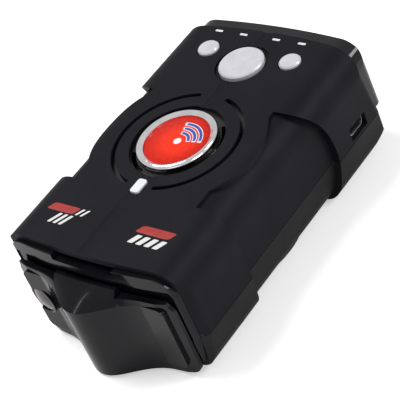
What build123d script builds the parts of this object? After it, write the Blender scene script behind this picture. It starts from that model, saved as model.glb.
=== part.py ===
"""Radar detector for a car dashboard: a two-part case with a smoked nose and a
smoked display window, a round badge over the speaker, and three push buttons.

Frame: X across, Y from the nose to the display, Z up, millimetres.
The origin is the centre of the footprint, on the surface that the feet stand on.
"""

from build123d import *
import math
import os

os.makedirs("parts", exist_ok=True)

# ---- Case ----
half_w = 34.7  # half width at the parting line
floor_half_w = 33.4  # half width that the sides lean in to at the bottom
top_z = 40.3
floor_z = 0.8
parting_z = 14.1
shoulder_r = 10.0
floor_edge_r = 6.0
wall = 2.0
seam = 0.1  # half the gap that shows as the parting line
tongue_h = 1.2
front_y = -48.3  # front rim on the centre line, and its bow
front_bow = 2.1
rear_y = 54.1  # rear rim at the top, its bow, and how far it leans out below
rear_bow = 3.0
rear_lean = 3.5
corner_r = 3.5
reach = 80.0  # longer than anything it trims

# ---- Side grips ----
grip_front_y = -21.5
grip_rear_top_y = 20.7
grip_rear_mid_y = 29.4
grip_rear_low_y = 24.7
grip_depth = 2.5
grip_drop = 0.9
grip_arc_r = 28.9

# ---- Badge, sound ring and marks on the top ----
badge_y = 1.7
ring_r = 13.2
ring_inner_r = 10.9
moat_r = 15.6
moat_depth = 1.5
slot_r = 20.8
slot_w = 1.5
slot_gap_deg = 31.0
groove_w = 4.6
groove_depth = 0.5
pipe_y = -18.8
pipe_w = 3.3
pipe_l = 5.7

# ---- Buttons ----
menu_y = 38.1
menu_r = 7.6
menu_recess_r = 9.0
menu_recess_depth = 0.7
side_key_x = 16.2
side_key_y = 42.3
side_key_r = 3.6
key_proud = 0.9
key_gap = 0.3
flange_t = 1.0
stem_r = 1.6

# ---- Front collar and nose ----
trim_inset = 2.1  # collar and window sit this far inside the case outline
trim_wall = 1.7
collar_y = -50.2
collar_bow = 2.5
recess_half_w = 11.9
recess_drop = 1.9
nose_tip_y = -60.7
nose_half_w = 30.6
nose_top_z = 32.3
nose_crease_z = 28.4
nose_wing_z = 30.4
nose_floor_z = 1.0
nose_wall = 1.8
facet_x = 25.6
facet_y = -50.9
side_y = -49.5
lens_x = -25.4
lens_z = 15.8
lens_r = 4.6

# ---- Display window ----
window_y = 59.4
window_bow = 2.0
window_lean = 1.3

# ---- Inside ----
board_z = 20.0
board_t = 1.6
board_half_w = 22.0
board_front_y = -2.0
board_rear_y = 46.8
switch_h = 3.5
usb_y = 42.1
usb_z = 17.6
boss_x = 25.5
boss_front_y = -34.0
boss_rear_y = 34.0
foot_x = 17.0
foot_y = 38.0
horn_x = 3.0
horn_mouth_y = -40.0
horn_throat_y = -14.0
horn_top_z = 24.0

# ---- Fasteners and feet ----
screw_r = 1.3
screw_l = 22.0
screw_head_r = 2.2
head_sink = 3.0
foot_r = 4.5
foot_sink = 0.8
horn_ear_z = 6.0
horn_ear_t = 1.5
usb_hole_l = 9.0
usb_hole_h = 4.8
collar_back_y = -42.0
plate_y = -49.4
plate_t = 1.4
neck_half_w = 28.0
neck_h = 25.0
neck_mid_z = 16.0
nose_back_y = -41.0
board_holes = [(-18.5, 1.5), (18.5, 1.5), (-18.5, 32.0), (18.5, 32.0)]
horn_holes = [(horn_x - 10.5, -9.0), (horn_x + 10.5, -9.0)]
foot_places = [(sx * foot_x, sy * foot_y) for sx in (-1, 1) for sy in (-1, 1)]
neck_setback = 3.0
neck_l = 6.5
lens_rise = 1.1
dome_rise = 0.9
lens_y = -50.9
sensor_back = 7.2
window_front_y = 50.0
insert_z = 36.4
speaker_r = 13.8
pipe_foot_z = 27.2
flange_z = top_z - wall - key_gap - flange_t
stem_z = 28.0
usb_face_x = 33.6
usb_l = 8.6
usb_w = 7.7
usb_h = 3.9
usb_shell_t = 0.3
display_board_y = 47.6
neck_plane = Plane((0, -42.0, 0), x_dir=(1, 0, 0), z_dir=(0, -1, 0))

board_top_z = board_z + board_t
across = Plane((0, reach, 0), x_dir=(1, 0, 0), z_dir=(0, -1, 0))
key_places = {"menu": (0.0, menu_y), "up": (side_key_x, side_key_y), "down": (-side_key_x, side_key_y)}
key_radii = {"menu": menu_r, "up": side_key_r, "down": side_key_r}


def tube(inset=0.0, depth=0.0, drop=0.0):
    """The case's cross-section, shrunk by inset, carried along the whole length.

    depth narrows it and drop lowers its top, which gives the floor of the grips.
    """
    with BuildPart() as body:
        with BuildSketch(across) as section:
            with BuildLine():
                Polyline(
                    (0, floor_z),
                    (floor_half_w - depth, floor_z),
                    (half_w - depth, parting_z),
                    (half_w - depth, top_z - drop),
                    (0, top_z - drop),
                )
                mirror(about=Plane.YZ)
            make_face()
            fillet(section.vertices().group_by(Axis.Y)[-1], shoulder_r)
            fillet(section.vertices().group_by(Axis.Y)[0], floor_edge_r)
            if inset:
                offset(amount=-inset, kind=Kind.INTERSECTION)
        extrude(amount=2 * reach)
    return body.part


def front_limit(y, bow, side, radius):
    """Everything behind a bowed front face with rounded corners."""
    with BuildPart() as body:
        with BuildSketch(Plane.XY.offset(-10)) as plan:
            with BuildLine():
                ThreePointArc((-side, y + bow), (0, y), (side, y + bow))
                Polyline((side, y + bow), (side, reach), (-side, reach), (-side, y + bow))
            make_face()
            fillet(plan.vertices().filter_by(lambda v: v.Y < 0), radius)
        extrude(amount=70)
    return body.part


def rear_limit(y, bow, side, radius, lean):
    """Everything in front of a bowed rear face that leans out towards the bottom."""
    slope = lean / (top_z - parting_z)
    lift = 10.0
    with BuildPart() as body:
        with BuildSketch(Plane.XY.offset(top_z + lift)) as plan:
            with BuildLine():
                start = y - lift * slope
                ThreePointArc((-side, start - bow), (0, start), (side, start - bow))
                Polyline((side, start - bow), (side, -reach), (-side, -reach), (-side, start - bow))
            make_face()
            fillet(plan.vertices().filter_by(lambda v: v.Y > 0), radius)
        extrude(amount=60, dir=(0, slope, -1))
    return body.part


def grips(grow=0.0):
    """The material that the two side grips take away, with its walls moved out by grow."""
    with BuildPart() as body:
        with BuildSketch(Plane.YZ):
            with BuildLine():
                ThreePointArc(
                    (grip_rear_top_y, top_z),
                    (grip_rear_mid_y, 19.8),
                    (grip_rear_low_y, floor_z),
                )
                Polyline(
                    (grip_rear_low_y, floor_z),
                    (grip_rear_low_y - 1, floor_z - 10),
                    (grip_front_y, floor_z - 10),
                    (grip_front_y, top_z + 10),
                    (grip_rear_top_y - 1, top_z + 10),
                    (grip_rear_top_y, top_z),
                )
            make_face()
            if grow:
                offset(amount=grow)
        extrude(amount=half_w + 5, both=True)
        with BuildSketch(Plane.XY.offset(-20)):
            with Locations((0, badge_y)):
                Circle(grip_arc_r - grow)
        extrude(amount=80, mode=Mode.SUBTRACT)
        with BuildSketch(Plane.XY.offset(-20)):
            Rectangle(2 * (grip_arc_r - 5 - grow), 2 * reach)
        extrude(amount=80, mode=Mode.SUBTRACT)
        add(tube(grow, grip_depth, grip_drop), mode=Mode.SUBTRACT)
    return body.part


def slab(low, high):
    """A wide block between two heights."""
    with BuildPart() as body:
        with BuildSketch(Plane.XY.offset(low)):
            Rectangle(4 * half_w, 2 * reach)
        extrude(amount=high - low)
    return body.part


def underside(inset=0.0):
    """Side profile of the lower case: flat floor, and a rear end that slopes up."""
    with BuildPart() as body:
        with BuildSketch(Plane.YZ) as side:
            with BuildLine():
                Polyline(
                    (-reach, floor_z + inset),
                    (44.0 - 0.2 * inset, floor_z + inset),
                    (55.6 - inset, 7.0 + 0.6 * inset),
                    (57.6 - inset, parting_z + 5),
                    (-reach, parting_z + 5),
                    close=True,
                )
            make_face()
            fillet(side.vertices().filter_by(lambda v: 30 < v.Y < 57 and v.Z < 12), 3.0)
        extrude(amount=2 * half_w, both=True)
    return body.part


outer_tube = tube() - grips()
inner_tube = tube(wall) - grips(wall)
rebate_tube = tube(wall / 2) - grips(wall / 2)
tongue_tube = tube(wall / 2 + 0.1) - grips(wall / 2 + 0.1)
case_front = front_limit(front_y, front_bow, half_w, corner_r)
case_rear = rear_limit(rear_y, rear_bow, half_w, corner_r, rear_lean)
boss_places = [(sx * boss_x, y) for sx in (-1, 1) for y in (boss_front_y, boss_rear_y)]

def finish(part, name):
    """Label a finished piece and write it."""
    part.label = name
    export_step(part, f"parts/{name}.step")


# ---- Upper case: soft-touch moulding with the key holes, sound slots and grips ----
with BuildPart() as upper_case:
    add(outer_tube)
    add(case_front, mode=Mode.INTERSECT)
    add(case_rear, mode=Mode.INTERSECT)
    add(slab(parting_z + seam, top_z + 5), mode=Mode.INTERSECT)
    add(inner_tube, mode=Mode.SUBTRACT)
    # rebate for the lower case's tongue
    add((rebate_tube - inner_tube) & slab(parting_z, parting_z + tongue_h + 0.1), mode=Mode.SUBTRACT)
    # screw bosses that come down to the parting line
    for x, y in boss_places:
        with BuildSketch(Plane.XY.offset(parting_z + tongue_h)):
            with Locations((x, y)):
                Circle(3.0)
        extrude(until=Until.NEXT, target=upper_case.part)
        with BuildSketch(Plane.XY.offset(parting_z)):
            with Locations((x, y)):
                Circle(screw_r - 0.2)
        extrude(amount=screw_l, mode=Mode.SUBTRACT)
    # moat round the badge
    with BuildSketch(Plane.XY.offset(top_z - 4)):
        with Locations((0, badge_y)):
            Circle(moat_r)
    extrude(amount=8, mode=Mode.SUBTRACT)
    # the two curved sound slots
    with BuildSketch(Plane.XY.offset(top_z - 4)):
        for start in (-90 + slot_gap_deg / 2, 90 + slot_gap_deg / 2):
            SlotArc(arc=CenterArc((0, badge_y), slot_r, start, 180 - slot_gap_deg), height=slot_w)
    extrude(amount=8, mode=Mode.SUBTRACT)
    # shallow centre groove, with sloping sides, in front of and behind the badge
    for low, high in ((front_y - 1, badge_y - moat_r + 0.5), (badge_y + moat_r - 0.5, rear_y + 1)):
        with BuildSketch(Plane((0, high, top_z), x_dir=(1, 0, 0), z_dir=(0, -1, 0))):
            Trapezoid(groove_w, groove_depth, 45, align=(Align.CENTER, Align.MIN), rotation=180)
        extrude(amount=high - low, mode=Mode.SUBTRACT)
    # dish round the large key, then the three key holes
    with BuildSketch(Plane.XY.offset(top_z - menu_recess_depth)):
        with Locations((0, menu_y)):
            Circle(menu_recess_r)
    extrude(amount=5, mode=Mode.SUBTRACT)
    for name, (x, y) in key_places.items():
        with BuildSketch(Plane.XY.offset(top_z - 4)):
            with Locations((x, y)):
                Circle(key_radii[name] + key_gap)
        extrude(amount=8, mode=Mode.SUBTRACT)
    # hole for the indicator's light pipe
    with BuildSketch(Plane.XY.offset(top_z - 4)):
        with Locations((0, pipe_y)):
            RectangleRounded(pipe_w + 0.1, pipe_l + 0.1, 0.95)
    extrude(amount=8, mode=Mode.SUBTRACT)
    # socket window in the right-hand side
    with BuildSketch(Plane.YZ.offset(half_w - 4)) as socket_window:
        with Locations((usb_y, usb_z)):
            Rectangle(usb_hole_l, usb_hole_h)
        fillet(socket_window.vertices(), 0.5)
    extrude(amount=8, mode=Mode.SUBTRACT)
finish(upper_case.part, "upper_case")

# ---- Lower case: floor, sloping rear end, posts and the tongue ----
with BuildPart() as lower_case:
    add(outer_tube)
    add(case_front, mode=Mode.INTERSECT)
    add(rear_limit(rear_y + rear_lean, rear_bow, half_w, corner_r, 0), mode=Mode.INTERSECT)
    add(underside(), mode=Mode.INTERSECT)
    add(slab(floor_z - 1, parting_z - seam), mode=Mode.INTERSECT)
    add(inner_tube & underside(wall), mode=Mode.SUBTRACT)
    add(
        (tongue_tube - inner_tube)
        & case_front
        & rear_limit(rear_y, rear_bow, half_w, corner_r, rear_lean)
        & slab(parting_z - 1, parting_z + tongue_h)
    )
    # screw posts: bored through, with the head sunk from below
    for x, y in boss_places:
        with BuildSketch(Plane.XY.offset(floor_z + 1)):
            with Locations((x, y)):
                Circle(3.4)
        extrude(amount=parting_z + tongue_h - floor_z - 1.1)
    for x, y in boss_places:
        with BuildSketch(Plane.XY.offset(floor_z - 5)):
            with Locations((x, y)):
                Circle(screw_r + 0.1)
        extrude(amount=30, mode=Mode.SUBTRACT)
        with BuildSketch(Plane.XY.offset(floor_z - 5)):
            with Locations((x, y)):
                Circle(screw_head_r + 0.2)
        extrude(amount=5 + head_sink, mode=Mode.SUBTRACT)
    # standoffs for the main board and for the horn
    for x, y, high in [(*p, board_z) for p in board_holes] + [(*p, horn_ear_z) for p in horn_holes]:
        with BuildSketch(Plane.XY.offset(floor_z + 1)):
            with Locations((x, y)):
                Circle(2.6)
        extrude(amount=high - floor_z - 1)
        with BuildSketch(Plane.XY.offset(high - 7)):
            with Locations((x, y)):
                Circle(0.8)
        extrude(amount=8, mode=Mode.SUBTRACT)
    # round recesses for the feet
    with BuildSketch(Plane.XY.offset(floor_z)):
        with Locations(*foot_places):
            Circle(foot_r + 0.05)
    extrude(amount=foot_sink, mode=Mode.SUBTRACT)
finish(lower_case.part, "lower_case")

# ---- Feet: four round rubber pads glued in their recesses ----
with BuildPart() as rubber_feet:
    with BuildSketch():
        with Locations(*foot_places):
            Circle(foot_r)
    extrude(amount=floor_z + foot_sink)
    fillet(rubber_feet.faces().filter_by(lambda f: abs(f.center().Z) < 0.01).edges(), 0.4)
finish(rubber_feet.part, "rubber_feet")


def screws(places, seat_z, shaft_r, shaft_l, head_r, head_h, up):
    """Identical pan-head screws with a cross recess; up is the way the shaft points."""
    with BuildPart() as body:
        for x, y in places:
            seat = Plane((x, y, seat_z), z_dir=(0, 0, up))
            with BuildSketch(seat):
                Circle(shaft_r)
            extrude(amount=shaft_l)
            with BuildSketch(seat):
                Circle(head_r)
            extrude(amount=-head_h)
            with BuildSketch(seat.offset(-head_h)):
                Rectangle(head_r * 1.2, head_r * 0.3)
                Rectangle(head_r * 0.3, head_r * 1.2)
            extrude(amount=head_h * 0.5, mode=Mode.SUBTRACT)
    return body.part


case_screws = screws(boss_places, floor_z + head_sink, screw_r - 0.2, screw_l, screw_head_r, 1.4, 1)
finish(case_screws, "case_screws")
board_screws = screws(board_holes, board_top_z, 0.8, 5.0, 1.7, 1.0, -1)
finish(board_screws, "board_screws")
horn_screws = screws(horn_holes, horn_ear_z + horn_ear_t, 0.8, 5.0, 1.7, 1.0, -1)
finish(horn_screws, "horn_screws")


def hat(inset, low, drop):
    """The cross-section again, with its top lowered between the collar's pads."""
    with BuildPart() as body:
        add(tube(inset))
        with BuildSketch(Plane.XY.offset(top_z - inset - drop)):
            Rectangle(2 * low, 2 * reach)
        extrude(amount=20, mode=Mode.SUBTRACT)
    return body.part


# ---- Front collar: gloss ring behind the nose, with two raised pads on top ----
collar_front = front_limit(collar_y, collar_bow, half_w - trim_inset, 3.0)
plate_front = front_limit(plate_y, collar_bow, half_w, 3.0)
plate_back = front_limit(plate_y + plate_t, collar_bow, half_w, 3.0)
collar_bore = hat(trim_inset + trim_wall, recess_half_w + trim_wall, recess_drop)
with BuildPart() as front_bezel:
    add(hat(trim_inset, recess_half_w, recess_drop) & collar_front)
    with BuildSketch(Plane.XZ.offset(-collar_back_y)):
        Rectangle(4 * half_w, 2 * reach)
    extrude(amount=-reach * 2, mode=Mode.SUBTRACT)
    add(collar_bore & plate_back, mode=Mode.SUBTRACT)
    # step in front of the plate
    add((collar_bore & slab(-5, nose_top_z + 1.2)) - plate_front, mode=Mode.SUBTRACT)
    # opening for the nose's neck
    with BuildSketch(neck_plane) as neck_hole:
        with Locations((0, neck_mid_z)):
            Rectangle(2 * neck_half_w, neck_h)
        fillet(neck_hole.vertices(), 2.5)
    extrude(amount=20, mode=Mode.SUBTRACT)
finish(front_bezel.part, "front_bezel")


# ---- Nose: smoked cover with a beak in the middle and a lens seat in its left cheek ----
def nose_plan(height, shrink, flat):
    """Plan outline at one height: straight across when flat, or drawn out to the beak."""
    side = nose_half_w - shrink
    tip = -51.6 + shrink if flat else nose_tip_y + 1.4 * shrink
    wing = -51.2 + shrink if flat else -51.4 + shrink
    edge = facet_y + shrink
    with BuildSketch(Plane.XY.offset(height)) as plan:
        with BuildLine():
            Bezier((0, tip), (6.5, tip), (10.5, wing - 0.3 if flat else -53.0 + shrink), (20.5, wing))
            Polyline(
                (20.5, wing),
                (facet_x - 0.3 * shrink, edge),
                (side, side_y + shrink * 0.6),
                (side, nose_back_y),
            )
            mirror(about=Plane.YZ)
            Line((side, nose_back_y), (-side, nose_back_y))
        make_face()
    return plan.sketch


def nose_body(shrink=0.0):
    """Nose block: an upright beak up to the crease, then a roof that runs back to the collar."""
    with BuildPart() as body:
        add(nose_plan(nose_floor_z + shrink, shrink, False))
        extrude(amount=nose_crease_z - 0.4 * shrink - nose_floor_z - shrink)
    with BuildPart() as roof:
        add(nose_plan(nose_crease_z - 0.4 * shrink, shrink, False))
        add(nose_plan(nose_top_z - shrink, shrink, True))
        loft(ruled=True)
    return body.part + roof.part



nose_limit = front_limit(collar_y - seam, collar_bow, half_w, 3.0)
nose_inner_limit = front_limit(collar_y - seam - nose_wall, collar_bow, half_w, 3.0)
lens_plane = Plane((lens_x, lens_y, lens_z), x_dir=(0, 0, 1), z_dir=(-0.2, -0.98, 0))

# the neck's inside runs forward only as far as the inner face of the cheeks
with BuildPart() as neck_inside:
    with BuildSketch(neck_plane) as neck_bore:
        with Locations((0, neck_mid_z)):
            Rectangle(2 * (neck_half_w - nose_wall), neck_h - 2 * nose_wall)
        fillet(neck_bore.vertices(), 1.2)
    extrude(amount=30)
nose_inside = nose_body(nose_wall) & slab(nose_floor_z, nose_crease_z - 1.4)
with BuildPart() as nose_cover:
    add(nose_body())
    # the roof steps down outside the beak
    with BuildSketch(Plane.XY.offset(nose_wing_z)):
        with Locations((-recess_half_w - 20, -50), (recess_half_w + 20, -50)):
            Rectangle(40, 30)
    extrude(amount=10, mode=Mode.SUBTRACT)
    # rounded lower corners
    with BuildSketch(neck_plane) as silhouette:
        with BuildLine():
            Polyline(
                (0, nose_floor_z),
                (nose_half_w, nose_floor_z),
                (nose_half_w, nose_crease_z - 1.2),
                (nose_half_w - 1.5, nose_crease_z + 0.8),
                (nose_half_w - 1.5, 60),
                (0, 60),
            )
            mirror(about=Plane.YZ)
        make_face()
        fillet(silhouette.vertices().group_by(Axis.Z)[0], 3.0)
    extrude(amount=40, both=True, mode=Mode.INTERSECT)
    # raised rim for the lens
    with BuildSketch(lens_plane.offset(-2)):
        Circle(lens_r + 0.8)
    extrude(amount=2.3)
    add(nose_limit, mode=Mode.SUBTRACT)
    # neck that plugs through the collar
    with BuildSketch(neck_plane.offset(neck_setback)) as neck:
        with Locations((0, neck_mid_z)):
            Rectangle(2 * neck_half_w - 0.2, neck_h - 0.2)
        fillet(neck.vertices(), 2.4)
    extrude(amount=neck_l)
    add(nose_inside - nose_inner_limit, mode=Mode.SUBTRACT)
    add(nose_inside & neck_inside.part, mode=Mode.SUBTRACT)
    with BuildSketch(lens_plane.offset(-3)):
        Circle(lens_r + 0.02)
    extrude(amount=6, mode=Mode.SUBTRACT)
finish(nose_cover.part, "nose_cover")

# ---- Laser receiver in the left cheek: lens, sensor can and its small board ----
lens_ball_r = (lens_r**2 + lens_rise**2) / (2 * lens_rise)
with BuildPart() as laser_lens:
    with BuildSketch(lens_plane.offset(-0.5)):
        Circle(lens_r)
    extrude(amount=2.5)
    with Locations(lens_plane.offset(lens_rise - lens_ball_r)):
        Sphere(lens_ball_r, mode=Mode.INTERSECT)
finish(laser_lens.part, "laser_lens")

with BuildPart() as laser_sensor:
    with BuildSketch(lens_plane.offset(-sensor_back)):
        Circle(1.95)
    extrude(amount=0.5)
    with BuildSketch(lens_plane.offset(-sensor_back)):
        Circle(1.6)
    extrude(amount=3.0)
finish(laser_sensor.part, "laser_sensor")

with BuildPart() as laser_board:
    with BuildSketch(lens_plane.offset(-sensor_back)):
        Rectangle(14, 9)
    extrude(amount=-1.0)
finish(laser_board.part, "laser_board")

# ---- Display window: smoked cap on the rear end ----
window_rear = rear_limit(window_y, window_bow, half_w - trim_inset, 3.0, window_lean)
window_rear_inner = rear_limit(window_y - trim_wall, window_bow, half_w - trim_inset, 3.0, window_lean)
with BuildPart() as display_window:
    add(tube(trim_inset) & window_rear & slab(parting_z + 0.2, top_z))
    with BuildSketch(Plane.XZ.offset(-window_front_y)):
        Rectangle(4 * half_w, 2 * reach)
    extrude(amount=reach * 2, mode=Mode.SUBTRACT)
    add(
        tube(trim_inset + trim_wall) & window_rear_inner & slab(parting_z + 0.2 + trim_wall, top_z),
        mode=Mode.SUBTRACT,
    )
finish(display_window.part, "display_window")

# ---- Sound insert: gloss ring under the slots that carries the badge ----
with BuildPart() as sound_insert:
    with BuildSketch(Plane.XY.offset(insert_z)):
        with Locations((0, badge_y)):
            Circle(slot_r + 2.0)
    extrude(amount=top_z - wall - 0.02 - insert_z)
    with BuildSketch(Plane.XY.offset(insert_z)):
        with Locations((0, badge_y)):
            Circle(moat_r - 0.02)
    extrude(amount=top_z - moat_depth - insert_z)
    with BuildSketch(Plane.XY.offset(insert_z)):
        with Locations((0, badge_y)):
            Circle(ring_r - 0.2)
    extrude(amount=top_z - 0.8 - insert_z)
    # skirt that grips the speaker
    with BuildSketch(Plane.XY.offset(insert_z)):
        with Locations((0, badge_y)):
            Circle(speaker_r + 1.3)
            Circle(speaker_r + 0.1, mode=Mode.SUBTRACT)
    extrude(amount=-4.5)
    # curved vents in the moat
    with BuildSketch(Plane.XY.offset(insert_z - 1)):
        for middle in (25, 155, -130, -50):
            SlotArc(arc=CenterArc((0, badge_y), moat_r - 1.15, middle - 19, 38), height=1.4)
    extrude(amount=5, mode=Mode.SUBTRACT)
    # clearance for the light pipe
    with BuildSketch(Plane.XY.offset(insert_z - 1)):
        with Locations((0, pipe_y)):
            Rectangle(pipe_w + 0.8, pipe_l + 0.8)
    extrude(amount=5, mode=Mode.SUBTRACT)
finish(sound_insert.part, "sound_insert")

badge_seat = Plane((0, badge_y, top_z - 0.8))
# ---- Badge: bright ring, coloured disc and clear dome ----
with BuildPart() as badge_ring:
    with BuildSketch(Plane.XZ):
        with BuildLine():
            Polyline((ring_inner_r, 0), (ring_r, 0), (ring_r, 1.2))
            ThreePointArc((ring_r, 1.2), (ring_r - 0.5, 1.85), (ring_r - 1.2, 2.0))
            Polyline((ring_r - 1.2, 2.0), (ring_inner_r, 1.2), (ring_inner_r, 0))
        make_face()
    revolve(axis=Axis.Z)
badge_ring.part = badge_ring.part.moved(badge_seat.location)
finish(badge_ring.part, "badge_ring")

with BuildPart() as badge_disc:
    with BuildSketch(badge_seat):
        Circle(ring_inner_r - 0.02)
    extrude(amount=0.5)
finish(badge_disc.part, "badge_disc")

dome_r = ring_inner_r - 0.1
dome_ball_r = (dome_r**2 + dome_rise**2) / (2 * dome_rise)
with BuildPart() as badge_dome:
    with BuildSketch(badge_seat.offset(0.52)):
        Circle(dome_r)
    extrude(amount=3)
    with Locations(badge_seat.offset(0.9 + dome_rise - dome_ball_r)):
        Sphere(dome_ball_r, mode=Mode.INTERSECT)
finish(badge_dome.part, "badge_dome")

# ---- Status indicator: light pipe in the top, and its diode on the radio board ----
with BuildPart() as indicator_pipe:
    with BuildSketch(Plane.XY.offset(pipe_foot_z)):
        with Locations((0, pipe_y)):
            RectangleRounded(pipe_w, pipe_l, 0.9)
    extrude(amount=top_z + 0.3 - pipe_foot_z)
    fillet(indicator_pipe.faces().sort_by(Axis.Z)[-1].edges(), 0.25)
finish(indicator_pipe.part, "indicator_pipe")

with BuildPart() as indicator_led:
    with BuildSketch(Plane.XY.offset(horn_top_z + board_t)):
        with Locations((0, pipe_y)):
            Rectangle(2.8, 3.5)
    extrude(amount=1.4)
finish(indicator_led.part, "indicator_led")


# ---- Keys: cap with a retaining flange and stem, plunger and switch for each ----
def key_cap(x, y, radius):
    """Cap, chamfered at its rim, with the flange that keeps it in and the stem that pushes the switch."""
    with BuildPart() as cap:
        with BuildSketch(Plane.XY.offset(flange_z)):
            with Locations((x, y)):
                Circle(radius)
        extrude(amount=top_z + key_proud - flange_z)
        chamfer(cap.faces().sort_by(Axis.Z)[-1].edges(), 0.45)
        with BuildSketch(Plane.XY.offset(flange_z)):
            with Locations((x, y)):
                Circle(radius + 1.2)
        extrude(amount=flange_t)
        with BuildSketch(Plane.XY.offset(stem_z)):
            with Locations((x, y)):
                Circle(stem_r)
        extrude(amount=flange_z - stem_z)
    return cap.part


def key_plunger(x, y):
    """Round actuator of the switch, under the stem."""
    with BuildPart() as plunger:
        with BuildSketch(Plane.XY.offset(board_top_z + switch_h + 0.6)):
            with Locations((x, y)):
                Circle(1.7)
        extrude(amount=stem_z - board_top_z - switch_h - 0.6)
    return plunger.part


def key_switch(x, y):
    """Square switch body, with a well for the plunger and four legs on its sides."""
    with BuildPart() as switch:
        with BuildSketch(Plane.XY.offset(board_top_z)):
            with Locations((x, y)):
                Rectangle(6.0, 6.0)
        extrude(amount=switch_h)
        with BuildSketch(Plane.XY.offset(board_top_z + switch_h - 0.4)):
            with Locations((x, y)):
                Circle(2.4)
        extrude(amount=2.0, mode=Mode.SUBTRACT)
        with BuildSketch(Plane.XY.offset(board_top_z)):
            with Locations((x - 2.25, y), (x + 2.25, y)):
                Rectangle(0.7, 8.0)
        extrude(amount=0.5)
    return switch.part


for name, (x, y) in key_places.items():
    finish(key_cap(x, y, key_radii[name]), f"{name}_button")
    finish(key_plunger(x, y), f"{name}_plunger")
    finish(key_switch(x, y), f"{name}_switch")

# ---- Main board, with a tab for the socket ----
with BuildPart() as main_board:
    with BuildSketch(Plane.XY.offset(board_z)):
        with BuildLine():
            Polyline(
                (-board_half_w, board_front_y),
                (board_half_w, board_front_y),
                (board_half_w, usb_y - 4.6),
                (usb_face_x - 1, usb_y - 4.6),
                (usb_face_x - 1, board_rear_y),
                (-board_half_w, board_rear_y),
                close=True,
            )
        make_face()
        with Locations(*board_holes):
            Circle(1.0, mode=Mode.SUBTRACT)
    extrude(amount=board_t)
finish(main_board.part, "main_board")

with BuildPart() as processor:
    with BuildSketch(Plane.XY.offset(board_top_z)):
        with Locations((0, 18)):
            Rectangle(10, 10)
    extrude(amount=1.4)
finish(processor.part, "processor")

with BuildPart() as small_chips:
    with BuildSketch(Plane.XY.offset(board_top_z)):
        with Locations((-13, 16), (13, 20), (-13, 26), (13, 6)):
            Rectangle(5, 6)
    extrude(amount=1.5)
finish(small_chips.part, "small_chips")

with BuildPart() as capacitors:
    with BuildSketch(Plane.XY.offset(board_z)):
        with Locations((14, 24), (14, 15), (-12, 20)):
            Circle(3.2)
    extrude(amount=-7.0)
    fillet(capacitors.faces().group_by(Axis.Z)[0].edges(), 0.5)
finish(capacitors.part, "capacitors")

# ---- Socket under the board: folded steel shell and the contact tongue ----
with BuildPart() as usb_socket:
    with BuildSketch(Plane.YZ.offset(usb_face_x)) as shell:
        with Locations((usb_y, board_z - usb_h / 2)):
            Rectangle(usb_w, usb_h)
        chamfer(shell.vertices().group_by(Axis.Z)[0], 1.0)
        fillet(shell.vertices(), 0.3)
        offset(amount=-usb_shell_t, mode=Mode.SUBTRACT)
    extrude(amount=-usb_l)
    with BuildSketch(Plane.YZ.offset(usb_face_x - usb_l)):
        with Locations((usb_y, board_z - usb_h / 2)):
            Rectangle(usb_w - 1.6, usb_h - 0.6)
    extrude(amount=0.6)
finish(usb_socket.part, "usb_socket")

with BuildPart() as usb_contacts:
    with BuildSketch(Plane.YZ.offset(usb_face_x - usb_l + 0.6)):
        with Locations((usb_y, board_z - usb_h / 2)):
            Rectangle(usb_w - 3.4, 0.9)
    extrude(amount=usb_l - 2.2)
finish(usb_contacts.part, "usb_contacts")


# ---- Horn aerial: cast flare with a flat top, a closed throat block and two ears ----
def flare(grow):
    """Pyramid from the mouth to the throat, with its walls moved out by grow."""
    with BuildPart() as body:
        with BuildSketch(Plane((0, horn_mouth_y, 0), x_dir=(1, 0, 0), z_dir=(0, -1, 0))):
            with Locations((horn_x, horn_top_z - 1.2 - 8)):
                Rectangle(29.6 + 2 * grow, 16 + 2 * grow)
        with BuildSketch(Plane((0, horn_throat_y, 0), x_dir=(1, 0, 0), z_dir=(0, -1, 0))):
            with Locations((horn_x, horn_top_z - 1.2 - 3)):
                Rectangle(12 + 2 * grow, 6 + 2 * grow)
        loft()
    return body.part


with BuildPart() as horn_antenna:
    add(flare(1.2))
    with BuildSketch(Plane.XY.offset(horn_ear_z)):
        with Locations((horn_x, (horn_throat_y - 4) / 2)):
            Rectangle(16, -horn_throat_y - 4)
    extrude(amount=horn_top_z - horn_ear_z)
    with BuildSketch(Plane.XY.offset(horn_ear_z)):
        with Locations((horn_x, -9)):
            Rectangle(27, 6)
        with Locations(*horn_holes):
            Circle(1.0, mode=Mode.SUBTRACT)
    extrude(amount=horn_ear_t)
    add(flare(0), mode=Mode.SUBTRACT)
finish(horn_antenna.part, "horn_antenna")

with BuildPart() as radio_board:
    with BuildSketch(Plane.XY.offset(horn_top_z)):
        with Locations((horn_x, -19.5)):
            Rectangle(26, 29)
    extrude(amount=board_t)
finish(radio_board.part, "radio_board")

with BuildPart() as shield_can:
    with BuildSketch(Plane.XY.offset(horn_top_z + board_t)) as can:
        with Locations((horn_x + 5.5, -24)):
            Rectangle(13, 17)
        fillet(can.vertices(), 0.8)
    extrude(amount=2.0)
    fillet(shield_can.faces().sort_by(Axis.Z)[-1].edges(), 0.3)
finish(shield_can.part, "shield_can")

# ---- Flat cable from the radio board down to the main board ----
with BuildPart() as radio_flex:
    with BuildSketch(Plane.YZ.offset(horn_x)):
        with BuildLine():
            Polyline(
                (-8.0, horn_top_z + board_t + 0.15),
                (-3.0, horn_top_z + board_t + 0.15),
                (0.0, board_top_z + 0.15),
                (4.0, board_top_z + 0.15),
            )
            offset(amount=0.13, side=Side.BOTH)
        make_face()
    extrude(amount=3.0, both=True)
finish(radio_flex.part, "radio_flex")

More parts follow.
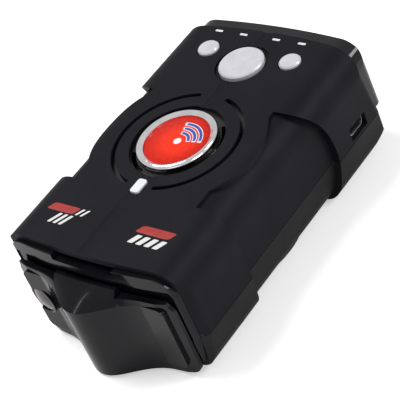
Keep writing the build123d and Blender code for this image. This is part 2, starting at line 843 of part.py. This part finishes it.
# ---- Speaker: basket, magnet and cone, with a foam gasket above ----
with BuildPart() as speaker_gasket:
    with BuildSketch(Plane.XY.offset(insert_z)):
        with Locations((0, badge_y)):
            Circle(speaker_r - 0.1)
            Circle(speaker_r - 2.0, mode=Mode.SUBTRACT)
    extrude(amount=-1.0)
finish(speaker_gasket.part, "speaker_gasket")

speaker_seat = Plane((0, badge_y, insert_z - 1.0))
with BuildPart() as speaker_basket:
    with BuildSketch(Plane.XZ):
        with BuildLine():
            Polyline(
                (speaker_r, 0),
                (speaker_r, -1.0),
                (speaker_r - 2.0, -1.0),
                (speaker_r - 4.5, -3.6),
                (5.0, -3.6),
                (5.0, -3.0),
                (speaker_r - 4.8, -3.0),
                (speaker_r - 2.4, -0.4),
                (speaker_r - 2.4, 0),
                close=True,
            )
        make_face()
    revolve(axis=Axis.Z)
speaker_basket.part = speaker_basket.part.moved(speaker_seat.location)
finish(speaker_basket.part, "speaker_basket")

with BuildPart() as speaker_magnet:
    with BuildSketch(speaker_seat.offset(-3.6)):
        Circle(8.5)
    extrude(amount=-3.4)
    fillet(speaker_magnet.faces().sort_by(Axis.Z)[0].edges(), 0.3)
finish(speaker_magnet.part, "speaker_magnet")

with BuildPart() as speaker_cone:
    with BuildSketch(Plane.XZ):
        with BuildLine():
            Polyline(
                (0, -1.2),
                (4.0, -2.3),
                (9.0, -0.5),
                (speaker_r - 2.6, -0.15),
                (speaker_r - 2.6, -0.4),
                (9.0, -0.8),
                (4.0, -2.7),
                (0, -1.6),
                close=True,
            )
        make_face()
    revolve(axis=Axis.Z)
speaker_cone.part = speaker_cone.part.moved(speaker_seat.location)
finish(speaker_cone.part, "speaker_cone")

# ---- Display: upright board, digit module, pin header and the rear laser receiver ----
display_plane = Plane((0, display_board_y, 0), x_dir=(-1, 0, 0), z_dir=(0, 1, 0))
with BuildPart() as display_board:
    with BuildSketch(display_plane):
        with Locations((0, 26.0)):
            Rectangle(54, 17)
    extrude(amount=1.4)
finish(display_board.part, "display_board")

with BuildPart() as led_display:
    with BuildSketch(display_plane.offset(1.4)):
        with Locations((0, 27.0)):
            Rectangle(38, 14)
    extrude(amount=6.0)
finish(led_display.part, "led_display")

with BuildPart() as display_header:
    with BuildSketch(Plane.XY.offset(board_top_z)):
        with Locations((0, board_rear_y - 2.0)):
            Rectangle(16, 2.4)
    extrude(amount=2.4)
    with BuildSketch(Plane.XZ.offset(-board_rear_y + 0.8)):
        with GridLocations(2.0, 1, 8, 1):
            with Locations((0, board_top_z + 1.2)):
                Rectangle(0.6, 0.6)
    extrude(amount=-(display_board_y - board_rear_y + 0.8))
finish(display_header.part, "display_header")

with BuildPart() as rear_sensor:
    with BuildSketch(display_plane.offset(1.4)):
        with Locations((-23.0, 27.0)):
            Rectangle(4.6, 4.6)
    extrude(amount=2.4)
    with BuildSketch(display_plane.offset(3.8)):
        with Locations((-23.0, 27.0)):
            Circle(1.6)
    extrude(amount=1.0)
    fillet(rear_sensor.faces().sort_by(Axis.Y)[-1].edges(), 0.8)
finish(rear_sensor.part, "rear_sensor")
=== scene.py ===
import bpy
import numpy as np
from mathutils import Matrix, Vector


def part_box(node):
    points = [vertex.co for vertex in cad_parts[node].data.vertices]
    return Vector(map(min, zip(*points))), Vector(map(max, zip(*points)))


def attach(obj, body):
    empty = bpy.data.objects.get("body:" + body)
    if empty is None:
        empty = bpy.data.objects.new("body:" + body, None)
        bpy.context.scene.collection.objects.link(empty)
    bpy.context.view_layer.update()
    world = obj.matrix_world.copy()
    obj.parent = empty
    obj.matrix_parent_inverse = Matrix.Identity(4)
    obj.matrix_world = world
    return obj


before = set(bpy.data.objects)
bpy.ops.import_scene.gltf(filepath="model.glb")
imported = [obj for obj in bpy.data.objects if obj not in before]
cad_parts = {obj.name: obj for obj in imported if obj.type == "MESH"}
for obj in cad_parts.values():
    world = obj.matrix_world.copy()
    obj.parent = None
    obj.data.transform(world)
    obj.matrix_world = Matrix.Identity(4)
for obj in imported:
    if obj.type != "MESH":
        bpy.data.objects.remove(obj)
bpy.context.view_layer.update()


# ---------------------------------------------------------------- upper case
# Moulded shell under a soft-touch lacquer: dull, faintly blue, with a very fine orange-peel grain.
# A Wire is a socket that takes part in sums and products, Nodes is a node tree, a Finish is a material.
class Wire:
    def __init__(self, tree, socket):
        self.tree = tree
        self.socket = socket

    def math(self, operation, other=None):
        node = self.tree.nodes.new("ShaderNodeMath")
        node.operation = operation
        for slot, value in zip(node.inputs, (self, other)):
            if isinstance(value, Wire):
                self.tree.links.new(value.socket, slot)
            elif value is not None:
                slot.default_value = value
        return Wire(self.tree, node.outputs[0])

    def __add__(self, other):
        return self.math("ADD", other)

    def __sub__(self, other):
        return self.math("SUBTRACT", other)

    def __mul__(self, other):
        return self.math("MULTIPLY", other)

    def __truediv__(self, other):
        return self.math("DIVIDE", other)

    def __pow__(self, other):
        return self.math("POWER", other)

    def __lt__(self, other):
        return self.math("LESS_THAN", other)

    def step(self, low, high):
        """Smooth rise from 0 at low to 1 at high."""
        node = self.tree.nodes.new("ShaderNodeMapRange")
        node.interpolation_type = "SMOOTHSTEP"
        self.tree.links.new(self.socket, node.inputs["Value"])
        node.inputs["From Min"].default_value = low
        node.inputs["From Max"].default_value = high
        return Wire(self.tree, node.outputs[0])


class Nodes:
    def __init__(self, tree):
        self.tree = tree

    def node(self, kind, inputs=None, **settings):
        """Any shader node, with its settings and its inputs set or linked."""
        made = self.tree.nodes.new("ShaderNode" + kind)
        for key, value in settings.items():
            setattr(made, key, value)
        for key, value in (inputs or {}).items():
            self.link(value, made.inputs[key])
        return made

    def link(self, value, slot):
        if isinstance(value, Wire):
            value = value.socket
        if isinstance(value, bpy.types.NodeSocket):
            self.tree.links.new(value, slot)
        else:
            slot.default_value = value

    def wire(self, node, output):
        return Wire(self.tree, node.outputs[output])


class Finish(Nodes):
    def __init__(self, name, colour, roughness, metallic=0.0, coat=0.0, specular=0.5):
        self.material = bpy.data.materials.new(name)
        self.material.use_nodes = True
        super().__init__(self.material.node_tree)
        self.shader = self.tree.nodes["Principled BSDF"]
        self.colour = colour
        self.set("Base Color", (*colour, 1.0))
        self.set("Roughness", roughness)
        self.set("Metallic", metallic)
        self.set("Coat Weight", coat)
        self.set("Coat Roughness", 0.03)
        self.set("Specular IOR Level", specular)
        self.point = self.node("TexCoord").outputs["Object"]

    def set(self, key, value):
        self.link(value, self.shader.inputs[key])

    def noise(self, scale, detail=3.0):
        """Noise whose grain is 1 / scale metres."""
        made = self.node("TexNoise", {"Vector": self.point, "Scale": scale, "Detail": detail})
        return self.wire(made, 0)

    def axis(self, name, origin):
        split = self.node("SeparateXYZ", {"Vector": self.point})
        return self.wire(split, name) - origin

    def blend(self, amount, low, high):
        """Colour from low to high as amount goes from 0 to 1."""
        made = self.node("Mix", data_type="RGBA", clamp_factor=True)
        self.link(amount, made.inputs[0])
        for slot, value in ((made.inputs[6], low), (made.inputs[7], high)):
            self.link(value if isinstance(value, bpy.types.NodeSocket) else (*value, 1.0), slot)
        return made.outputs[2]

    def bump(self, height, distance):
        made = self.node("Bump", {"Height": height, "Distance": distance, "Strength": 1.0})
        self.set("Normal", made.outputs[0])

    def mottle(self, scale, amount, roughness, grain=None, depth=0.0):
        """Slow drift of colour and gloss, and a fine grain in relief."""
        low = tuple(part * (1 - amount) for part in self.colour)
        high = tuple(min(1.0, part * (1 + amount)) for part in self.colour)
        self.set("Base Color", self.blend(self.noise(scale).step(0.3, 0.7), low, high))
        base = self.shader.inputs["Roughness"].default_value
        smear = self.noise(scale * 3.1, 4.0)
        self.set("Roughness", (smear - 0.5) * (2 * roughness) + base)
        if grain:
            self.bump(self.noise(grain, 2.0), depth)


def wear(node, finish):
    """Puts a finish on a CAD node."""
    slots = bpy.data.objects[node].material_slots
    if not slots:
        bpy.data.objects[node].data.materials.append(finish.material)
    for slot in slots:
        slot.material = finish.material


soft = Finish("soft_touch", (0.0072, 0.0069, 0.0100), 0.50, specular=0.10)
soft.mottle(60.0, 0.16, 0.05, 2600.0, 0.000018)
wear("upper_case", soft)

# ---------------------------------------------------------------- lower case
# Spark-eroded moulding grain, more neutral and a little darker than the lacquer.
grain = Finish("moulded_case", (0.0098, 0.0098, 0.0105), 0.52, specular=0.2)
grain.mottle(80.0, 0.2, 0.06, 1700.0, 0.00005)
wear("lower_case", grain)

# ---------------------------------------------------------------- collar and nose
# Polished black with faint flow marks and hairlines that run across the nose.
gloss = Finish("polished_black", (0.0052, 0.0053, 0.0075), 0.09, coat=0.0, specular=0.22)
gloss.mottle(90.0, 0.3, 0.035, 5000.0, 0.0000015)
for name in ("front_bezel", "nose_cover"):
    wear(name, gloss)

# ---------------------------------------------------------------- display window
# Smoked cap: the same polish over a slightly bluer body.
smoke = Finish("smoked_window", (0.0060, 0.0063, 0.0080), 0.07, coat=0.2, specular=0.3)
smoke.mottle(70.0, 0.3, 0.03, 4200.0, 0.0000015)
wear("display_window", smoke)

# ---------------------------------------------------------------- sound insert
# Satin black under the slots.
satin = Finish("satin_black", (0.006, 0.006, 0.007), 0.3)
satin.mottle(120.0, 0.3, 0.08, 2400.0, 0.00001)
wear("sound_insert", satin)

# ---------------------------------------------------------------- laser lens
# Dark red filter with a deeper centre, seen through its own polish.
low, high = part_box("laser_lens")
ruby = Finish("laser_filter", (0.02, 0.006, 0.009), 0.05, coat=0.8)
across = ruby.axis("X", float(low[0] + high[0]) / 2)
upward = ruby.axis("Z", float(low[2] + high[2]) / 2)
radius = (across * across + upward * upward).math("SQRT")
ruby.set("Base Color", ruby.blend(radius.step(0.0012, 0.0042), (0.05, 0.008, 0.012), (0.009, 0.006, 0.009)))
ruby.set("Roughness", ruby.noise(900.0) * 0.04 + 0.03)
wear("laser_lens", ruby)

# ---------------------------------------------------------------- keys
# Silver lacquer with fine metal flakes and a spun sheen.
silver = Finish("silver_lacquer", (0.60, 0.60, 0.64), 0.34, metallic=0.12, coat=0.3)
silver.mottle(240.0, 0.05, 0.05, 4500.0, 0.000006)
for name in ("menu_button", "up_button", "down_button"):
    wear(name, silver)

# ---------------------------------------------------------------- badge
# Plated ring round a red lacquered disc, which grows darker to its rim as painted shade from the ring's inner
# wall and the dome's edge, and carries plain sweep arcs.
chrome = Finish("plated_ring", (0.93, 0.93, 0.95), 0.10, metallic=1.0)
chrome.mottle(300.0, 0.06, 0.04, 3000.0, 0.000002)
wear("badge_ring", chrome)
low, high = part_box("badge_disc")
middle = (np.array(low) + np.array(high)) / 2
lacquer = Finish("badge_lacquer", (0.86, 0.034, 0.009), 0.28, coat=0.0, specular=0.1)
across = lacquer.axis("X", float(middle[0]))
along = lacquer.axis("Y", float(middle[1]))
radius = (across * across + along * along).math("SQRT")
speck = lacquer.noise(9000.0, 2.0).step(0.62, 0.8) * 0.12
# Painted shade: the red falls off from 3 mm out to the rim, standing in for the shade of the ring's wall and
# the dome's edge.
disc_colour_with_painted_shade = lacquer.blend(radius.step(0.0030, 0.0107), (0.86, 0.034, 0.009), (0.55, 0.012, 0.004))
disc_colour_with_painted_shade = lacquer.blend(speck, disc_colour_with_painted_shade, (1.0, 0.35, 0.25))
lean = across * 0.55 + along * 0.84
arc_radii = (0.0036, 0.0056, 0.0076)


def sweep_arcs(half_width, low, high):
    """Mask of the three arcs, each this wide, within the sector where lean over radius passes low to high."""
    sector = (lean / (radius + 0.00001)).step(low, high)
    mask = None
    for arc_radius in arc_radii:
        band = ((radius - arc_radius).math("ABSOLUTE") < half_width) * sector
        mask = band if mask is None else mask.math("MAXIMUM", band)
    return mask


pale_print = (0.85, 0.83, 0.86)
disc_colour_with_painted_shade = lacquer.blend(sweep_arcs(0.00072, 0.64, 0.70), disc_colour_with_painted_shade, pale_print)
disc_colour_with_painted_shade = lacquer.blend(sweep_arcs(0.00048, 0.70, 0.76), disc_colour_with_painted_shade, (0.05, 0.09, 0.38))
disc_colour_with_painted_shade = lacquer.blend(radius < 0.0013, disc_colour_with_painted_shade, pale_print)
lacquer.set("Base Color", disc_colour_with_painted_shade)
lacquer.set("Roughness", lacquer.noise(700.0) * 0.1 + 0.22)
wear("badge_disc", lacquer)

# ---------------------------------------------------------------- badge dome
# Clear resin cast into the ring: nothing but its polish shows, stronger at grazing angles.
clear = Finish("clear_resin", (1.0, 1.0, 1.0), 0.02, coat=0.0)
clear.bump(clear.noise(260.0, 1.0), 0.00002)
through = clear.node("BsdfTransparent")
facing = clear.wire(clear.node("LayerWeight", {"Blend": 0.5}), "Facing")
edge = facing**5 * 0.5 + 0.003
mixed = clear.node("MixShader", {0: edge, 1: through.outputs[0], 2: clear.shader.outputs[0]})
clear.set("Metallic", 1.0)
clear.tree.links.new(mixed.outputs[0], clear.tree.nodes["Material Output"].inputs["Surface"])
wear("badge_dome", clear)

# ---------------------------------------------------------------- indicator
# Milky light pipe and the diode under it.
milk = Finish("milky_pipe", (0.78, 0.79, 0.80), 0.3, coat=0.2)
milk.mottle(500.0, 0.05, 0.05, 3000.0, 0.000004)
for name in ("indicator_pipe", "indicator_led"):
    wear(name, milk)

# ---------------------------------------------------------------- steel, zinc, board and the rest inside
# One finish for each kind of stuff, with its own grain.
inner = {
    "bright_tin": ((0.60, 0.60, 0.62), 0.28, 1.0, 700.0, 1500.0, 0.000004),
    "cast_zinc": ((0.42, 0.42, 0.44), 0.45, 1.0, 300.0, 900.0, 0.00003),
    "black_oxide": ((0.03, 0.03, 0.032), 0.38, 0.8, 500.0, 2500.0, 0.000008),
    "ferrite": ((0.05, 0.05, 0.052), 0.5, 0.2, 500.0, 1400.0, 0.00002),
    "solder_mask": ((0.012, 0.12, 0.035), 0.32, 0.0, 350.0, 1200.0, 0.00001),
    "moulded_epoxy": ((0.018, 0.018, 0.02), 0.5, 0.0, 600.0, 2600.0, 0.00001),
    "sleeved_can": ((0.02, 0.035, 0.11), 0.25, 0.0, 300.0, 1800.0, 0.000005),
    "grey_face": ((0.10, 0.10, 0.105), 0.3, 0.0, 300.0, 2000.0, 0.000005),
    "paper_cone": ((0.05, 0.048, 0.045), 0.8, 0.0, 600.0, 900.0, 0.00006),
    "amber_film": ((0.42, 0.17, 0.02), 0.25, 0.0, 300.0, 1200.0, 0.000005),
    "rubber_pad": ((0.02, 0.02, 0.02), 0.75, 0.0, 200.0, 1300.0, 0.00005),
}
wearers = {
    "bright_tin": ["usb_socket", "menu_switch", "up_switch", "down_switch", "shield_can", "speaker_magnet",
                   "board_screws", "horn_screws"],
    "cast_zinc": ["horn_antenna"],
    "black_oxide": ["case_screws"],
    "ferrite": ["speaker_basket"],
    "solder_mask": ["main_board", "radio_board", "display_board", "laser_board"],
    "moulded_epoxy": ["processor", "small_chips", "display_header", "usb_contacts", "laser_sensor",
                      "rear_sensor", "menu_plunger", "up_plunger", "down_plunger"],
    "sleeved_can": ["capacitors"],
    "grey_face": ["led_display"],
    "paper_cone": ["speaker_cone"],
    "amber_film": ["radio_flex"],
    "rubber_pad": ["rubber_feet", "speaker_gasket"],
}
for kind, (colour, rough, metal, drift, fine, depth) in inner.items():
    finish = Finish(kind, colour, rough, metallic=metal)
    finish.mottle(drift, 0.15, 0.06, fine, depth)
    for name in wearers[kind]:
        wear(name, finish)


# ---------------------------------------------------------------- printed marks
# Plain slanted blocks where the real case carries print, and small dashes behind the keys.
def print_mark(name, finish, x, y, width, depth, slant=0.0):
    """Slanted rounded rectangle: rings of a superellipse of power eight, sheared along x, with a crown
    that falls off as the twelfth power of the distance to the rim."""
    turn = np.linspace(0, 2 * np.pi, 96, endpoint=False)
    reach = (np.abs(np.cos(turn)) ** 8 + np.abs(np.sin(turn)) ** 8) ** (-1 / 8)
    rings = np.linspace(0, 1, 9)[1:]
    ring, angle = np.meshgrid(rings, turn, indexing="ij")
    spread = ring * reach[None, :]
    px = x + spread * np.cos(angle) * width / 2 + spread * np.sin(angle) * slant / 2
    py = y + spread * np.sin(angle) * depth / 2
    pz = top + 0.00001 + 0.00003 * (1 - ring**12)
    points = np.concatenate([[[x, y, top + 0.00004]], np.stack([px, py, pz], -1).reshape(-1, 3)])
    count = len(turn)
    nxt = (np.arange(count) + 1) % count
    fan = [[0, 1 + i, 1 + n] for i, n in zip(range(count), nxt)]
    quads = [
        [1 + r * count + i, 1 + (r + 1) * count + i, 1 + (r + 1) * count + n, 1 + r * count + n]
        for r in range(len(rings) - 1) for i, n in zip(range(count), nxt)
    ]
    mesh = bpy.data.meshes.new(name)
    mesh.from_pydata(points.tolist(), [], fan + quads)
    mesh.polygons.foreach_set("use_smooth", [True] * len(mesh.polygons))
    mesh.materials.append(finish.material)
    piece = bpy.data.objects.new(name, mesh)
    bpy.context.collection.objects.link(piece)
    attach(piece, "housing")


top = float(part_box("upper_case")[1][2])
red_ink = Finish("red_ink", (0.36, 0.022, 0.018), 0.38)
red_ink.mottle(900.0, 0.12, 0.05, 4000.0, 0.000004)
white_ink = Finish("white_ink", (0.74, 0.73, 0.74), 0.4)
white_ink.mottle(900.0, 0.05, 0.05, 4000.0, 0.000004)
front_row = -0.0378  # the white bars
slab_row = -0.0337  # the red slabs behind them
slab_depth = 0.0029
slab_slant = 0.0016
print_mark("mark_left_red", red_ink, -0.0184, slab_row, 0.0105, slab_depth, slab_slant)
print_mark("mark_right_red", red_ink, 0.0181, slab_row - 0.0001, 0.0125, slab_depth, slab_slant)
bars = {  # count, first x, pitch, y, width, depth, slant
    "mark_short_bar": (2, -0.0118, 0.0020, slab_row, 0.0009, 0.0028, slab_slant),
    "mark_left_bar": (3, -0.0188, 0.0022, front_row, 0.0012, 0.0042, 0.0022),
    "mark_right_bar": (4, 0.0130, 0.0031, front_row, 0.0020, 0.0034, 0.0018),
}
for name, (count, first, pitch, row, width, depth, slant) in bars.items():
    for index in range(count):
        print_mark("%s_%d" % (name, index), white_ink, first + pitch * index, row, width, depth, slant)
for index, place in enumerate((0.0150, 0.0050, -0.0080, -0.0180)):
    print_mark("key_legend_%d" % index, white_ink, place, 0.0512, 0.0029, 0.0009)

# ---------------------------------------------------------------- camera
# Stands high off the nose's right corner and looks back along the case, rolled to one side.
roll_deg = -24.15
target = Vector((0.02341, -0.0185, 0.0403))
place = Vector((0.3028, -0.2438, 0.3287))
back = (place - target).normalized()
level = Vector((0, 0, 1)).cross(back).normalized()
lift = back.cross(level)
roll = np.radians(roll_deg)
right = level * float(np.cos(roll)) + lift * float(np.sin(roll))
up = lift * float(np.cos(roll)) - level * float(np.sin(roll))
camera = bpy.data.objects.new("camera", bpy.data.cameras.new("camera"))
camera.data.sensor_width = 36.0
camera.data.lens = 144.0
camera.data.clip_start = 0.01
camera.matrix_world = Matrix((
    (right.x, up.x, back.x, place.x),
    (right.y, up.y, back.y, place.y),
    (right.z, up.z, back.z, place.z),
    (0, 0, 0, 1),
))
bpy.context.collection.objects.link(camera)
bpy.context.scene.camera = camera


# ---------------------------------------------------------------- lights
# A large lamp above the back left, a softbox on the right for the gloss edges, and a low fill at the nose.
def softbox(name, place, width, height, power, aim=(0.0, 0.0, 0.02)):
    lamp = bpy.data.lights.new(name, "AREA")
    lamp.shape = "RECTANGLE"
    lamp.size = width
    lamp.size_y = height
    lamp.energy = power
    holder = bpy.data.objects.new(name, lamp)
    holder.location = place
    holder.rotation_euler = (Vector(place) - Vector(aim)).to_track_quat("Z", "Y").to_euler()
    bpy.context.collection.objects.link(holder)


softbox("main_lamp", (-0.42, -0.05, 0.95), 0.45, 0.45, 7.0)
softbox("shoulder_box", (0.63, 0.49, 0.62), 0.34, 0.34, 3.2)
softbox("nose_box", (0.25, -0.80, 0.22), 0.45, 0.18, 0.18)
softbox("side_box", (0.95, -0.15, 0.40), 0.5, 0.3, 3.0)

world = bpy.data.worlds.new("studio")
world.use_nodes = True
bpy.context.scene.world = world
tree = world.node_tree
studio = Nodes(tree)
paths = studio.node("LightPath")
glossy = studio.wire(paths, "Is Glossy Ray")
camera_ray = studio.wire(paths, "Is Camera Ray")
backdrop = tree.nodes["Background"].inputs
studio.link(glossy * 0.25 + camera_ray * 0.70 + 0.30, backdrop["Strength"])
studio.link((1, 1, 1, 1), backdrop["Color"])

# ---------------------------------------------------------------- floor
# Pale board under the feet, lifted to white for the camera only, so that its shadows stay soft.
side = 3.0
span = np.array([-side, side])
gx, gy = np.meshgrid(span, span)
points = np.stack([gx, gy, np.full_like(gx, -0.0001)], -1).reshape(-1, 3)
cells = [[0, 1, 3, 2]]
mesh = bpy.data.meshes.new("floor")
mesh.from_pydata(points.tolist(), [], cells)
floor = bpy.data.objects.new("floor", mesh)
bpy.context.collection.objects.link(floor)
pale = Finish("pale_floor", (0.88, 0.88, 0.88), 0.9, specular=0.1)
pale.mottle(3.0, 0.01, 0.02)
pale.set("Emission Color", pale.node("LightPath").outputs["Is Camera Ray"])
pale.set("Emission Strength", 0.40)
mesh.materials.append(pale.material)

bpy.context.scene.view_settings.view_transform = "Standard"
bpy.context.scene.view_settings.look = "None"
